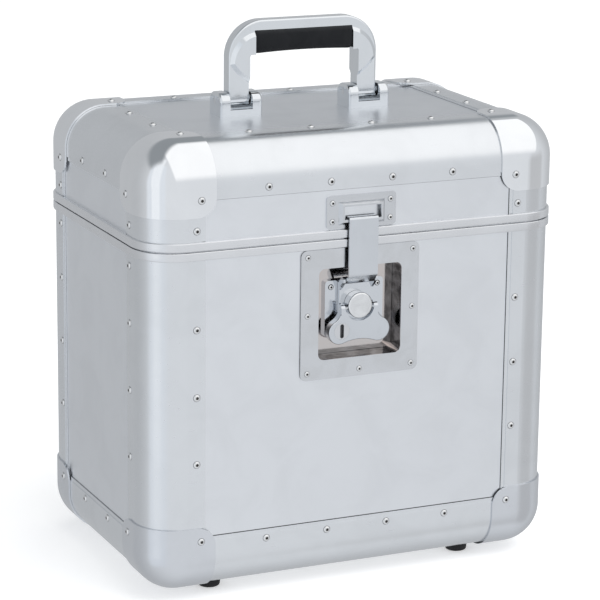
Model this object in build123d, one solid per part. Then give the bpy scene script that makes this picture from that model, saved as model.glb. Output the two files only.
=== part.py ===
from build123d import *
import os
from math import cos, pi, radians, sin, sqrt

# Aluminium carrying case for 12-inch records, in millimetres.
# +X is to the right, -Y is the front with the latch, +Z is up. The origin is on the ground,
# in the middle under the case.

# Case
case_width = 350.0  # over the edge extrusions
case_depth = 234.0
case_height = 353.0  # underside of the extrusions to the top of the lid
lid_height = 80.2  # joint between body and lid to the top of the lid
skin = 1.5  # wall of the extrusions
panel = 6.0  # thickness of the panels
edge_radius = 32.0  # round back of the extrusions
edge_leg = 46.5  # reach of an extrusion from the corner
lid_edge_drop = 42.0  # reach of the lid's extrusions down its walls
lip_width = 3.0  # thinner strip at the edge of each flange
lip_step = 0.5

# Pressed corner caps
cap_leg = 54.5
cap_sheet = 1.4
cap_ear_radius = 15.0
cap_rivet = 42.5  # from the corner's two faces

# Rims where body and lid meet
rim_band = 7.0
rim_proud = 2.0
rim_wall = 3.0  # inner wall
rim_web = 2.0
rim_chamfer = 0.7
tongue_height = 2.4
tongue_width = 2.0
tongue_inset = 4.0
groove_side_gap = 0.5
groove_end_gap = 0.6
lid_rim_web = 1.2  # metal left above the groove

# Foam
foam = 3.0
floor_foam = 6.0
foam_gap = 0.3

# Fits between pieces
seat_gap = 0.1  # between curved skins of one body
running_gap = 0.05  # radial, round pins
swing_gap = 0.3  # between faces that pass each other

# Rivets
rivet_radius = 2.8
rivet_top_radius = 1.7
rivet_height = 1.3
rivet_sides = 12
rivet_pitch = 51.6
small_rivet_radius = 2.2
post_rivet_drop = 9.0  # top rivet of a body post, below the rim
post_rivets = 4

# Feet
foot_height = 8.0
foot_radius = 9.5
foot_gap = 1.5  # from the corner cap
foot_taper = 1.0
foot_round = 2.0
screw_radius = 2.0
screw_head_radius = 4.2
screw_head = 2.4
hole_gap = 0.1  # radial, round screws
foot_bore_gap = 0.5

# Handle
handle_width = 128.0
handle_rise = 74.5  # lid panel to the top of the bail
handle_depth = 12.0
handle_corner = 29.0
leg_width = 17.0
bar_height = 8.0
grip_length = 84.0
grip_height = 18.8
grip_depth = 18.0
grip_wall = 4.8
grip_round = 6.0
bail_round = 1.6
shoulder_radius = 25.0  # raised leaf beside the grip, round its upper corner
shoulder_rim = 1.0  # plain rim outside it
shoulder_foot = 17.5  # its lowest point, below the corner's centre
shoulder_slope = 48.0
shoulder_rise = 2.7
pivot_height = 12.5  # above the lid panel
handle_pin_radius = 2.5
bracket_width = 36.0
bracket_depth = 24.0
bracket_height = 18.5
bracket_round = 7.0
bracket_wall = 2.5
bracket_wall_height = 5.5
bracket_side_gap = 1.0
bracket_screw_depth = 8.0

# Rear hinges
hinge_width = 56.0
hinge_gap = 5.5  # from the posts
hinge_sheet = 1.2
hinge_reach = 34.0  # leaf, from the joint
knuckle_radius = 2.5
knuckle_count = 5
hinge_pin_radius = 1.2
hinge_rivet_spacing = 38.0
hinge_rivet_rows = (18.0, 29.0)  # from the joint

# Latch dish in the front panel
dish_width = 100.0
dish_height = 103.0
dish_corner = 5.0
dish_sheet = 1.5
dish_rim_gap = 0.6  # below the rim
recess_width = 70.4
recess_height = 72.4
recess_corner = 5.0
recess_depth = 13.5  # floor, behind the panel's face
recess_draft = 3.0
dish_rivet_inset = 5.5
cutout_gap = 0.8

# Latch works; depths count outwards from the front panel's face
boss_drop = 54.3  # boss centre, below the joint
boss_radius = 10.25
boss_front = 2.8
boss_round = 1.5
boss_recess_radius = 7.4
boss_recess_depth = 0.4
base_front = -10.0
base_width = 49.4
base_top = 18.5  # above the boss centre
base_bottom = 26.5
base_sheet = 1.3
base_corner = 3.0
base_rivet_x = 19.8
base_rivet_rise = 13.4
slider_front = -6.0
slider_width = 28.7
slider_sheet = 1.6
slider_top = 17.5
eccentric_offset = 3.5
eccentric_radius = 6.9
eccentric_thickness = 1.6
yoke_gap = 0.9
yoke_bar = 2.0
rail_width = 1.5
rail_height = 1.7
spindle_radius = 3.2
spindle_square = 4.6
spindle_neck_radius = 2.6
spindle_head_radius = 5.5
spindle_head = 1.4

# Butterfly wing
wing_axis_drop = 2.5  # fold axis, below the boss centre
wing_axis_depth = -2.2
wing_thickness = 7.0
wing_notch_radius = 12.5
wing_ear_width = 3.4
wing_pin_radius = 1.2
lobe_x = 16.5
lobe_drop = 20.5  # lobe centres, below the boss centre
lobe_radius = 9.5
lobe_top_angle = 60.0  # part of a lobe's circle that the outline keeps, degrees
lobe_foot_angle = -110.0
wing_round = 1.0
key_radius = 6.5
key_x = -15.0
key_drop = 19.5
key_slot_width = 3.2
key_slot_length = 11.2
key_slot_depth = 3.0
key_tail = 1.4
key_tail_width = 3.0

# Strap that hooks into the keeper
strap_width = 24.4
strap_sheet = 1.6
strap_pin_radius = 1.25
strap_pin_rise = 20.1  # above the boss centre
strap_pin_depth = -1.5
strap_lean = 50.0  # rise of the cranked part, degrees
strap_bend = 1.8
rim_pass_gap = 1.4  # strap, in front of the rims
nose_reach = 4.0
ear_gap = 0.3

# Keeper on the lid
keeper_width = 58.5
keeper_height = 26.0
keeper_sheet = 1.2
keeper_corner = 3.0
keeper_rim_gap = 0.6
hood_width = 40.6
hood_foot = 2.0  # hood's foot, above the keeper's lower edge
hood_height_on_plate = 20.0
hood_depth = 4.5
hood_draft = 35.0
window_width = 31.0
window_low = 7.2  # above the keeper's lower edge
window_height = 10.2
nose_gap = 0.5
keeper_rivet_x = 24.5
keeper_rivet_y = 7.25

# Derived places
base_z = foot_height
top_z = base_z + case_height
split_z = top_z - lid_height
half_width = case_width / 2
half_depth = case_depth / 2
wall = skin + panel
flange_mid = (edge_radius + edge_leg) / 2  # rivet line, from the case's face
lining_offset = wall + seat_gap
rim_inset = lining_offset + rim_wall
lid_web = tongue_height + groove_end_gap + lid_rim_web
floor_z = base_z + lining_offset + foam + foam_gap
lid_face_z = top_z - skin
boss_z = split_z - boss_drop
eccentric_lift = 2 * eccentric_offset
wing_axis_z = boss_z - wing_axis_drop
dish_z = split_z - rim_band - dish_rim_gap - dish_height / 2
keeper_low = split_z + rim_band + keeper_rim_gap
keeper_z = keeper_low + keeper_height / 2
lip_z = keeper_low + window_low
strap_pin_z = boss_z + strap_pin_rise
strap_inner = skin + rim_proud + rim_pass_gap
strap_middle = strap_inner + strap_sheet / 2
hinge_x = half_width - edge_leg - hinge_gap - hinge_width / 2
hinge_pin_out = skin + rim_proud + swing_gap + knuckle_radius
bracket_x = handle_width / 2 - leg_width / 2
pivot_z = lid_face_z + pivot_height

# Working planes: x to the viewer's right, y up the wall (as world z), z out of the panel's face.
front = Plane(origin=(0, -half_depth + skin, 0), x_dir=(1, 0, 0), z_dir=(0, -1, 0))
rear = Plane(origin=(0, half_depth - skin, 0), x_dir=(-1, 0, 0), z_dir=(0, 1, 0))
side_view = Plane.YZ  # in a working plane: sketch x is height, sketch y is depth


def block(x, y, z):
    # Box between two values on each axis.
    middle = Pos((x[0] + x[1]) / 2, (y[0] + y[1]) / 2, (z[0] + z[1]) / 2)
    return middle * Box(x[1] - x[0], y[1] - y[0], z[1] - z[0])


def across(radius, x0, x1, y, z):
    # Cylinder along X.
    return Plane(origin=(x0, y, z), z_dir=(1, 0, 0)) * Cylinder(
        radius, x1 - x0, align=(Align.CENTER, Align.CENTER, Align.MIN)
    )


def outwards(radius, low, high, x=0, y=0):
    # Cylinder along Z of the plane it is used in.
    return Pos(x, y, low) * Cylinder(radius, high - low, align=(Align.CENTER, Align.CENTER, Align.MIN))


def four_corners(piece):
    # A piece at the front left, and its mirror images at the other three corners.
    front_right = mirror(piece, about=Plane.YZ)
    return {
        "front_left": piece,
        "front_right": front_right,
        "rear_left": mirror(piece, about=Plane.XZ),
        "rear_right": mirror(front_right, about=Plane.XZ),
    }


def rivet_heads(points, direction, radius=rivet_radius):
    # Low round heads that stand on the points.
    scale = radius / rivet_radius
    foot = RegularPolygon(radius, rivet_sides)
    crown = Pos(0, 0, rivet_height * scale) * RegularPolygon(rivet_top_radius * scale, rivet_sides)
    head = loft([foot, crown])
    return [Plane(origin=point, z_dir=direction) * head for point in points]


def row(length, pitch=rivet_pitch):
    # Even places along a length, centred on it.
    count = max(1, int(length // pitch))
    return [(i - (count - 1) / 2) * pitch for i in range(count)]


# Shells of the case


def edge_section(leg_x, leg_y):
    # Extrusion section with the case's corner at the origin: two flanges and a round back.
    inner = edge_radius - skin
    slant = sin(radians(45))
    flange_x = Polyline(
        (edge_radius, 0),
        (leg_x - lip_width, 0),
        (leg_x - lip_width, lip_step),
        (leg_x, lip_step),
        (leg_x, skin),
        (edge_radius, skin),
    )
    hollow = ThreePointArc(
        (edge_radius, skin),
        (edge_radius - inner * slant, edge_radius - inner * slant),
        (skin, edge_radius),
    )
    flange_y = Polyline(
        (skin, edge_radius),
        (skin, leg_y),
        (lip_step, leg_y),
        (lip_step, leg_y - lip_width),
        (0, leg_y - lip_width),
        (0, edge_radius),
    )
    back = ThreePointArc(
        (0, edge_radius),
        (edge_radius * (1 - slant), edge_radius * (1 - slant)),
        (edge_radius, 0),
    )
    return make_face(flange_x + hollow + flange_y + back)


def post(low, high):
    # Upright extrusion at the front left corner.
    return Pos(-half_width, -half_depth, low) * extrude(edge_section(edge_leg, edge_leg), high - low)


def long_edge(height, direction, leg_up):
    # Extrusion along the foot or the top of the front wall.
    length = case_width - 2 * edge_leg
    start = Plane(
        origin=(-direction * length / 2, -half_depth, height), x_dir=(0, 1, 0), z_dir=(direction, 0, 0)
    )
    return start * extrude(edge_section(edge_leg, leg_up), length)


def short_edge(height, direction, leg_up):
    # Extrusion along the foot or the top of the left wall.
    length = case_depth - 2 * edge_leg
    start = Plane(
        origin=(-half_width, direction * length / 2, height), x_dir=(1, 0, 0), z_dir=(0, -direction, 0)
    )
    return start * extrude(edge_section(edge_leg, leg_up), length)


def corner_block(outset):
    # Corner of the case at the origin, grown outwards, with its three edges rounded.
    size = cap_leg + edge_radius
    cube = block((-outset, size), (-outset, size), (-outset, size))
    low_edges = [e for e in cube.edges() if sum(1 for v in e.center() if abs(v + outset) < 0.01) == 2]
    return fillet(low_edges, edge_radius + outset)


def corner_cap():
    # Pressed cap over the three extrusions' ends, with a rounded ear on each face.
    shell = corner_block(seat_gap + cap_sheet) - corner_block(seat_gap)
    reach = (-seat_gap - cap_sheet, cap_leg)
    trim = block(reach, reach, reach)
    ear_edges = [e for e in trim.edges() if sum(1 for v in e.center() if abs(v - cap_leg) < 0.01) == 2]
    return shell & fillet(ear_edges, cap_ear_radius)


def loop_prism(outset, low, high):
    # Upright prism of the case's rounded plan, grown outwards or inwards.
    plan = RectangleRounded(case_width + 2 * outset, case_depth + 2 * outset, edge_radius + outset)
    return Pos(0, 0, low) * extrude(plan, high - low)


def loop_ring(outer, inner, low, high):
    return loop_prism(outer, low, high) - loop_prism(inner, low - 1, high + 1)


def rim_bar(low, high):
    # Plain band that stands proud of the walls, its outer edges broken.
    bar = loop_prism(rim_proud, low, high)
    ends = bar.faces().filter_by(Axis.Z)
    bar = chamfer(ends.edges(), rim_chamfer)
    return bar - loop_prism(-rim_inset, low - 1, high + 1)


def body_rim():
    # Rim that caps the body's walls, with a tongue for the lid.
    bar = rim_bar(split_z - rim_band, split_z)
    channel = loop_ring(seat_gap, -lining_offset, split_z - rim_band - 1, split_z - rim_web)
    tongue = loop_ring(-tongue_inset, -tongue_inset - tongue_width, split_z - rim_web / 2, split_z + tongue_height)
    return bar - channel + tongue


def lid_rim():
    # Rim that caps the lid's walls, with a groove over the tongue.
    bar = rim_bar(split_z, split_z + rim_band)
    channel = loop_ring(seat_gap, -lining_offset, split_z + lid_web, split_z + rim_band + 1)
    groove = loop_ring(
        -tongue_inset + groove_side_gap,
        -tongue_inset - tongue_width - groove_side_gap,
        split_z - 1,
        split_z + tongue_height + groove_end_gap,
    )
    return bar - channel - groove


def rounded_tub(inset, high):
    # Body's inner space, inset from the case's faces, with round upright and bottom edges.
    tub = block(
        (-half_width + inset, half_width - inset), (-half_depth + inset, half_depth - inset), (base_z + inset, high)
    )
    edges = tub.edges().filter_by(Axis.Z) + tub.edges().group_by(Axis.Z)[0]
    return fillet(edges, edge_radius - inset)


def rounded_cover(inset, low):
    # Lid's inner space, the same way up-side down.
    cover = block(
        (-half_width + inset, half_width - inset), (-half_depth + inset, half_depth - inset), (low, top_z - inset)
    )
    edges = cover.edges().filter_by(Axis.Z) + cover.edges().group_by(Axis.Z)[-1]
    return fillet(edges, edge_radius - inset)


def recess_outline(grow):
    return RectangleRounded(recess_width + 2 * grow, recess_height + 2 * grow, recess_corner + grow)


def dish_clearance():
    # Straight square-cornered hole for the dish through the front wall and its foam.
    grow = dish_sheet + cutout_gap
    outline = Rectangle(recess_width + 2 * grow, recess_height + 2 * grow)
    hole = extrude(outline, 2 * (recess_depth + wall), both=True)
    return front * Pos(0, dish_z, 0) * hole


def front_panel():
    width = half_width - edge_radius
    board = block(
        (-width, width), (-half_depth + skin, -half_depth + wall), (base_z + edge_radius, split_z - rim_web)
    )
    return board - dish_clearance()


def wall_panel_rear(low, high):
    width = half_width - edge_radius
    return block((-width, width), (half_depth - wall, half_depth - skin), (low, high))


def wall_panel_left(low, high):
    depth = half_depth - edge_radius
    return block((-half_width + skin, -half_width + wall), (-depth, depth), (low, high))


def flat_panel(low):
    width = half_width - edge_radius
    depth = half_depth - edge_radius
    return block((-width, width), (-depth, depth), (low, low + panel))


def body_lining():
    top = split_z - rim_band - foam_gap
    shell = rounded_tub(lining_offset, top) - rounded_tub(lining_offset + foam, top + 1)
    return shell - dish_clearance()


def floor_pad():
    pad = rounded_tub(lining_offset + foam + foam_gap, split_z)
    slab = block((-half_width, half_width), (-half_depth, half_depth), (floor_z, floor_z + floor_foam))
    return pad & slab


def lid_lining():
    low = split_z + rim_band + foam_gap
    shell = rounded_cover(lining_offset, low) - rounded_cover(lining_offset + foam, low - 1)
    pocket = screw_head_radius + cutout_gap
    for x, y in bracket_screw_places():
        shell -= Pos(x, y, 0) * outwards(pocket, lid_face_z - panel - 2 * foam, lid_face_z)
    return shell


# Feet


def foot_places():
    x = half_width - cap_leg - foot_radius - foot_gap
    y = half_depth - flange_mid
    return [(-x, -y), (x, -y), (-x, y), (x, y)]


def foot():
    # Round rubber foot with a hollow for the screw's head.
    bottom = foot_radius - foot_taper
    section = Polyline(
        (screw_radius + hole_gap, foot_height), (foot_radius, foot_height), (bottom, 0), (0, 0), (0, foot_height)
    )
    profile = make_face(section + Line((0, foot_height), (screw_radius + hole_gap, foot_height)))
    solid = revolve(Plane.XZ * profile, Axis.Z)
    solid = fillet(solid.edges().group_by(Axis.Z)[0], foot_round)
    hollow = outwards(screw_head_radius + foot_bore_gap, -1, foot_height / 2)
    return solid - hollow - outwards(screw_radius + hole_gap, 0, foot_height + 1)


def foot_screw():
    under = foot_height / 2
    head = outwards(screw_head_radius, under - screw_head, under)
    return head + outwards(screw_radius, under, base_z + wall - 1)


def foot_holes():
    return [Pos(x, y, 0) * outwards(screw_radius + hole_gap, 0, base_z + wall + 1) for x, y in foot_places()]


# Rivets on the case


def wall_row_rivets(height):
    # One row round the case, in the middle of an extrusion's upright flange.
    long_row = row(case_width - 2 * cap_leg)
    short_row = row(case_depth - 2 * cap_leg)
    heads = []
    for side in (-1, 1):
        heads += rivet_heads([(x, side * half_depth, height) for x in long_row], (0, side, 0))
        heads += rivet_heads([(side * half_width, y, height) for y in short_row], (side, 0, 0))
    return heads


def flat_row_rivets(height, direction):
    # The same extrusions' rivets on the case's top or underside.
    long_row = row(case_width - 2 * cap_leg)
    short_row = row(case_depth - 2 * cap_leg)
    points = []
    for side in (-1, 1):
        points += [(x, side * (half_depth - flange_mid), height) for x in long_row]
        points += [(side * (half_width - flange_mid), y, height) for y in short_row]
    return rivet_heads(points, (0, 0, direction))


def post_rivet_heads(heights):
    # Rivets in both flanges of the four posts.
    heads = []
    for x in (-1, 1):
        for y in (-1, 1):
            on_front = [(x * (half_width - flange_mid), y * half_depth, z) for z in heights]
            on_side = [(x * half_width, y * (half_depth - flange_mid), z) for z in heights]
            heads += rivet_heads(on_front, (0, y, 0)) + rivet_heads(on_side, (x, 0, 0))
    return heads


def cap_rivet_heads(corner_z, up):
    # One rivet on each ear of four caps. up is +1 at the bottom corners and -1 at the lid's.
    out = seat_gap + cap_sheet
    height = corner_z + up * cap_rivet
    heads = []
    for x in (-1, 1):
        for y in (-1, 1):
            in_x = x * (half_width - cap_rivet)
            in_y = y * (half_depth - cap_rivet)
            heads += rivet_heads([(in_x, y * (half_depth + out), height)], (0, y, 0))
            heads += rivet_heads([(x * (half_width + out), in_y, height)], (x, 0, 0))
            heads += rivet_heads([(in_x, in_y, corner_z - up * out)], (0, 0, -up))
    return heads


# Rear hinges


def knuckle_spans(first):
    # Every second knuckle of a hinge, as spans across its width.
    pitch = hinge_width / knuckle_count
    half_gap = swing_gap / 2
    starts = [-hinge_width / 2 + i * pitch for i in range(first, knuckle_count, 2)]
    return [(start + half_gap, start + pitch - half_gap) for start in starts]


def hinge_leaf(up, first_knuckle):
    # Cranked leaf: it lies on the panel, steps over the rim and ends in its knuckles.
    proud = skin + rim_proud
    rim_line = proud + hinge_sheet / 2
    step = rim_line - hinge_sheet / 2
    free_end = knuckle_radius + 3 * swing_gap
    past_rim = rim_band + swing_gap + hinge_sheet / 2
    line = Polyline(
        (split_z + up * free_end, rim_line),
        (split_z + up * past_rim, rim_line),
        (split_z + up * (past_rim + step), hinge_sheet / 2),
        (split_z + up * hinge_reach, hinge_sheet / 2),
    )
    leaf = extrude(side_view * trace(line, hinge_sheet), hinge_width / 2, both=True)
    for x0, x1 in knuckle_spans(first_knuckle):
        tab_height = sorted((split_z, split_z + up * (free_end + hinge_sheet)))
        leaf += block((x0, x1), tab_height, (proud, proud + hinge_sheet))
        leaf += across(knuckle_radius, x0, x1, split_z, hinge_pin_out)
    bore = across(hinge_pin_radius + running_gap, -hinge_width, hinge_width, split_z, hinge_pin_out)
    return leaf - bore


def on_hinges(piece):
    # A hinge piece at both hinges.
    return [rear * Pos(x, 0, 0) * piece for x in (-hinge_x, hinge_x)]


def hinge_rivets(up):
    heads = []
    for centre in (-hinge_x, hinge_x):
        for side in (-1, 1):
            x = centre + side * hinge_rivet_spacing / 2
            points = [(x, half_depth - skin + hinge_sheet, split_z + up * rise) for rise in hinge_rivet_rows]
            heads += rivet_heads(points, (0, 1, 0), small_rivet_radius)
    return heads


# Handle


def bracket_screw_places():
    reach = (bracket_width + leg_width + 2 * bracket_side_gap) / 4
    return [(side * bracket_x + way * reach, 0) for side in (-1, 1) for way in (-1, 1)]


def handle_bracket():
    # Cast bracket at the left: two cheeks and two low walls round a slot for the handle's leg.
    low = lid_face_z
    body = block(
        (-bracket_width / 2, bracket_width / 2), (-bracket_depth / 2, bracket_depth / 2), (low, low + bracket_height)
    )
    top = body.faces().sort_by(Axis.Z)[-1]
    body = fillet(top.edges().filter_by(Axis.X), bracket_round)
    body = fillet(body.edges().group_by(Axis.Z)[-1].filter_by(Axis.Y), bracket_wall)
    half_slot = leg_width / 2 + bracket_side_gap
    inner = bracket_depth / 2 - bracket_wall
    body -= block(
        (-half_slot, half_slot), (-bracket_depth, bracket_depth), (low + bracket_wall_height, low + 2 * bracket_height)
    )
    body -= block((-half_slot, half_slot), (-inner, inner), (low + bracket_wall, low + bracket_height))
    body -= across(handle_pin_radius + running_gap, -bracket_width, bracket_width, 0, pivot_z)
    for x, y in bracket_screw_places():
        if x < 0:
            body -= Pos(x + bracket_x, y, 0) * outwards(screw_radius + hole_gap, low - 1, low + bracket_screw_depth)
    return Pos(-bracket_x, 0, 0) * body


def bracket_screw():
    # Screw from inside the lid, up through its panel into the bracket.
    under = lid_face_z - panel
    return outwards(screw_head_radius, under - screw_head, under) + outwards(
        screw_radius, under, lid_face_z + bracket_screw_depth - hole_gap
    )


def shoulder_leaf():
    # Raised leaf on the front of the left leg, as thick as the grip, its slope inside its outline.
    left = -handle_width / 2 + shoulder_rim
    high = lid_face_z + handle_rise - bar_height - shoulder_rim
    centre = (left + shoulder_radius, high - shoulder_radius)
    slant = shoulder_radius * sin(radians(45))
    past = -grip_length / 2 + 2 * grip_wall  # in the grip's room, where it is cut away
    low = (past, centre[1] - shoulder_foot - shoulder_rise)
    outline = Line((past, high), (centre[0], high))
    outline += ThreePointArc((centre[0], high), (centre[0] - slant, centre[1] + slant), (left, centre[1]))
    sag = ((left + past) / 2 - shoulder_rise, (centre[1] + low[1]) / 2 - shoulder_rise)
    outline += ThreePointArc((left, centre[1]), sag, low)
    outline += Line(low, (past, high))
    leaf = Plane.XZ * make_face(outline)
    return Pos(0, -handle_depth / 2, 0) * extrude(leaf, shoulder_rise, taper=shoulder_slope)


def handle_bail():
    # Flat cast bail: two legs, round shoulders, a bar along the top and a core inside the grip.
    top = lid_face_z + handle_rise
    half = handle_width / 2
    outline = RectangleRounded(handle_width, 2 * handle_rise, handle_corner)
    frame = extrude(Plane.XZ * Pos(0, lid_face_z) * outline, handle_depth / 2, both=True)
    frame = fillet(frame.edges().filter_by(Plane.XZ), bail_round)
    leaf = shoulder_leaf()
    leaf += mirror(leaf, about=Plane.XZ)
    frame += leaf + mirror(leaf, about=Plane.YZ)
    grip_top = top - bar_height
    grip_low = grip_top - grip_height
    inner = half - leg_width
    opening = block((-inner, inner), (-half, half), (0, grip_low))
    opening = fillet(opening.edges().filter_by(Axis.Y).group_by(Axis.Z)[-1], bail_round)
    room = grip_length / 2 + seat_gap
    frame -= opening
    frame -= block((-room, room), (-half, half), (grip_low - 1, grip_top))
    core_depth = grip_depth / 2 - grip_wall
    frame += block((-room - 1, room + 1), (-core_depth, core_depth), (grip_low + grip_wall, grip_top + 1))
    # Side view of the legs: round ends about the pin.
    reach = block((-half, half), (-grip_depth, grip_depth), (pivot_z, top))
    reach += across(handle_depth / 2, -half, half, 0, pivot_z)
    bore = across(handle_pin_radius + running_gap, -half, half, 0, pivot_z)
    return (frame & reach) - bore


def handle_grip():
    # Rubber grip that wraps the core from below.
    top = lid_face_z + handle_rise - bar_height
    low = top - grip_height
    half = grip_length / 2
    grip = block((-half, half), (-grip_depth / 2, grip_depth / 2), (low, top))
    long_edges = grip.edges().filter_by(Axis.X).sort_by(Axis.Z)
    grip = fillet(long_edges[:2], grip_round)
    grip = fillet(grip.edges().filter_by(Axis.X).group_by(Axis.Z)[-1], grip_round / 2)
    core = grip_depth / 2 - grip_wall + seat_gap
    return grip - block((-half - 1, half + 1), (-core, core), (low + grip_wall - seat_gap, top + 1))


# Latch


def latch_dish():
    # Pressed dish: a riveted flange and a drafted recess.
    at_face = Pos(0, 0, dish_sheet)
    depth = recess_depth + dish_sheet
    flange = extrude(RectangleRounded(dish_width, dish_height, dish_corner), dish_sheet)
    tub = extrude(recess_outline(dish_sheet), depth + dish_sheet, dir=(0, 0, -1), taper=recess_draft)
    hollow = extrude(recess_outline(0), depth, dir=(0, 0, -1), taper=recess_draft)
    return front * Pos(0, dish_z, 0) * (flange + at_face * tub - at_face * hollow)


def base_outline(grow):
    height = base_top + base_bottom
    centre = boss_z + (base_top - base_bottom) / 2
    return Pos(0, centre) * RectangleRounded(base_width + 2 * grow, height + 2 * grow, base_corner + grow)


def latch_base():
    # Pressed pan on the dish's floor: it bears the spindle and guides the slider between two rails.
    floor = -recess_depth
    pan = Pos(0, 0, floor) * extrude(base_outline(0), base_front - floor)
    pan -= Pos(0, 0, floor) * extrude(base_outline(-base_sheet), base_front - base_sheet - floor)
    rail_out = slider_width / 2 - slider_sheet - swing_gap
    low = boss_z - eccentric_offset - eccentric_radius
    for side in (-1, 1):
        rail_x = sorted((side * rail_out, side * (rail_out - rail_width)))
        pan += block(rail_x, (low, boss_z + base_top - base_sheet), (base_front - base_sheet, base_front + rail_height))
    return front * (pan - outwards(spindle_neck_radius + running_gap, floor - 1, 0, 0, boss_z))


def latch_slider():
    # Channel that a cam lifts: front plate with a slot, two skirts, two yoke bars and two pin ears.
    half = slider_width / 2
    back = slider_front - slider_sheet
    skirt = base_front + swing_gap
    yoke_mid = boss_z - eccentric_offset
    yoke_half = eccentric_radius + yoke_gap
    low = yoke_mid - yoke_half - yoke_bar
    high = boss_z + slider_top
    channel = block((-half, half), (low, high), (back, slider_front))
    for side in (-1, 1):
        skirt_x = sorted((side * half, side * (half - slider_sheet)))
        channel += block(skirt_x, (low, high), (skirt, back))
        bar_y = sorted((yoke_mid + side * yoke_half, yoke_mid + side * (yoke_half + yoke_bar)))
        bar_half = half - slider_sheet - 2 * swing_gap - rail_width
        channel += block((-bar_half, bar_half), bar_y, (skirt + swing_gap, back))
    slot_width = 2 * (spindle_radius + swing_gap)
    slot = Pos(0, boss_z - eccentric_offset) * SlotOverall(eccentric_lift + slot_width, slot_width, rotation=90)
    channel -= Pos(0, 0, back) * extrude(slot, slider_sheet)
    ear_inner = strap_width / 2 + ear_gap
    eye = strap_pin_radius + running_gap + strap_sheet
    for side in (-1, 1):
        ear_x = sorted((side * half, side * ear_inner))
        foot_line = Pos(high - eye, back + slider_sheet / 2) * Rectangle(2 * eye, slider_sheet)
        ear = make_hull((Pos(strap_pin_z, strap_pin_depth) * Circle(eye)).edges() + foot_line.edges())
        channel += Pos(ear_x[0], 0, 0) * extrude(side_view * ear, ear_x[1] - ear_x[0])
    bore = across(strap_pin_radius + running_gap, -half - 1, half + 1, strap_pin_z, strap_pin_depth)
    return front * (channel - bore)


def latch_boss():
    # Turned boss with its spindle: round, then square for the cam, then a neck and a peened head.
    cap_low = slider_front + swing_gap
    cap = outwards(boss_radius, cap_low, boss_front, 0, boss_z)
    cap = fillet(cap.edges().sort_by(Axis.Z)[-1], boss_round)
    cap -= outwards(boss_recess_radius, boss_front - boss_recess_depth, boss_front + 1, 0, boss_z)
    cam_high = slider_front - slider_sheet - swing_gap
    cam_low = cam_high - eccentric_thickness
    half = spindle_square / 2
    cap += outwards(spindle_radius, cam_high, cap_low + 1, 0, boss_z)
    cap += block((-half, half), (boss_z - half, boss_z + half), (cam_low, cam_high))
    head_high = base_front - base_sheet - seat_gap
    cap += outwards(spindle_neck_radius, head_high, cam_low, 0, boss_z)
    cap += outwards(spindle_head_radius, head_high - spindle_head, head_high, 0, boss_z)
    reach = boss_radius + 1
    return front * (cap - across(wing_pin_radius + running_gap, -reach, reach, wing_axis_z, wing_axis_depth))


def latch_cam():
    # Eccentric disc on the spindle's square; half a turn lifts the slider by twice its offset.
    cam_high = slider_front - slider_sheet - swing_gap
    cam_low = cam_high - eccentric_thickness
    half = spindle_square / 2 + running_gap
    disc = outwards(eccentric_radius, cam_low, cam_high, 0, boss_z - eccentric_offset)
    return front * (disc - block((-half, half), (boss_z - half, boss_z + half), (cam_low - 1, cam_high + 1)))


def on_lobe(angle):
    # Point of the right lobe's circle, and the direction along it, anticlockwise from +X.
    turn = radians(angle)
    point = (lobe_x + lobe_radius * cos(turn), -lobe_drop + lobe_radius * sin(turn))
    return point, (-sin(turn), cos(turn))


def wing_outline():
    # Butterfly outline with the boss centre at the origin: lobes, hollow sides and a hollow foot.
    top = -wing_axis_drop
    notch = sqrt(wing_notch_radius**2 - top**2)
    shoulder = notch + wing_ear_width
    neck = (shoulder, top - wing_thickness / 2)
    high, up_along = on_lobe(lobe_top_angle)
    middle, _ = on_lobe((lobe_top_angle + lobe_foot_angle) / 2)
    low, low_along = on_lobe(lobe_foot_angle)
    right = Line((notch, top), (shoulder, top)) + Line((shoulder, top), neck)
    right += TangentArc(high, neck, tangent=up_along)
    right += ThreePointArc(high, middle, low)
    left = mirror(right, about=Plane.YZ)
    bottom = TangentArc(low, (-low[0], low[1]), tangent=(-low_along[0], -low_along[1]))
    cup = ThreePointArc((-notch, top), (0, -wing_notch_radius), (notch, top))
    return make_face(right + bottom + left + cup)


def latch_wing():
    # Cast butterfly wing that folds out on a pin through the boss; one lobe holds the key barrel.
    half = wing_thickness / 2
    plate = extrude(wing_outline(), wing_thickness)
    face_edges = plate.edges().group_by(Axis.Z)[-1].filter_by(GeomType.CIRCLE)
    rounded = [e for e in face_edges if abs(e.radius - wing_notch_radius) > wing_round]
    plate = Pos(0, boss_z, wing_axis_depth - half) * fillet(rounded, wing_round)
    notch = sqrt(wing_notch_radius**2 - wing_axis_drop**2)
    for side in (-1, 1):
        ear_x = sorted((side * notch, side * (notch + wing_ear_width)))
        plate += across(half, ear_x[0], ear_x[1], wing_axis_z, wing_axis_depth)
    reach = notch + wing_ear_width + 1
    plate -= across(wing_pin_radius + running_gap, -reach, reach, wing_axis_z, wing_axis_depth)
    barrel = outwards(key_radius + running_gap, wing_axis_depth - wing_thickness, boss_front, key_x, boss_z - key_drop)
    return front * (plate - barrel)


def key_barrel():
    # Lock barrel with a key slot in front and a short cam behind.
    face = wing_axis_depth + wing_thickness / 2
    back = wing_axis_depth - wing_thickness / 2
    centre = boss_z - key_drop
    barrel = outwards(key_radius, back - swing_gap, face, key_x, centre)
    slot = Pos(key_x, centre, face - key_slot_depth) * SlotOverall(key_slot_length, key_slot_width, rotation=90)
    barrel -= extrude(slot, key_slot_depth + 1)
    tail = SlotOverall(key_radius + key_tail_width, key_tail_width, rotation=90)
    tail = Pos(key_x, centre - key_radius / 2, back - swing_gap - key_tail) * extrude(tail, key_tail)
    return front * (barrel + tail)


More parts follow.
